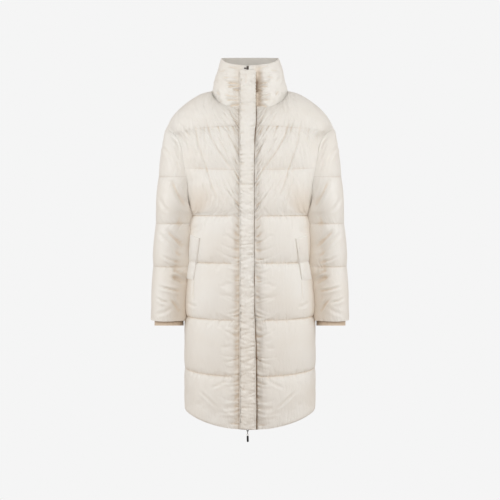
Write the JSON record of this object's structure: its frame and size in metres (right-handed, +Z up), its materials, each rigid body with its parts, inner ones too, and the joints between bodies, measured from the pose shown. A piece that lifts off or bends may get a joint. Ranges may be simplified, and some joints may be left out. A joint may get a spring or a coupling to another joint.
{
  "type": "long puffer coat",
  "caption": "Long quilted puffer coat filled out as worn, with a stand collar, full sleeves with inner cuffs, a covered front zip and slanting welt pockets.",
  "frame": {"origin": "middle of the neck opening, level with the inner ends of the shoulder seams, where the wearer's neck and shoulders carry the coat", "axes": "+Z up through the collar, -Y out of the zipped front, +X to the wearer's left"},
  "size_m": [0.5742, 0.3297, 1.0873],
  "materials": {
    "shell": "satin woven nylon, cream",
    "cuff_lining": "matte woven, cream",
    "zip": "woven tape with moulded teeth, cream",
    "slider_metal": "dark plated metal",
    "ring_metal": "pale plated wire",
    "tab_rubber": "black moulded rubber"
  },
  "bodies": {
    "coat": {"back": "shell", "collar": "shell", "front_left": "shell", "front_right": "shell", "inner_cuff_left": "cuff_lining", "inner_cuff_right": "cuff_lining", "pocket_welt_left": "shell", "pocket_welt_right": "shell", "sleeve_left": "shell", "sleeve_right": "shell", "slider_bottom": "slider_metal", "slider_top": "slider_metal", "storm_flap": "shell", "storm_flap_collar": "shell", "zip": "zip"},
    "pull": {"pull_link": "slider_metal", "pull_ring": "ring_metal", "pull_tab": "tab_rubber"}
  },
  "joints": [
    {"name": "pull_swing", "type": "hinge", "parent": "coat", "child": "pull", "pos_m": [-0.0066, -0.15596, -0.9557], "axis": [1, 0, 0], "range_deg": [-80, 80]}
  ]
}
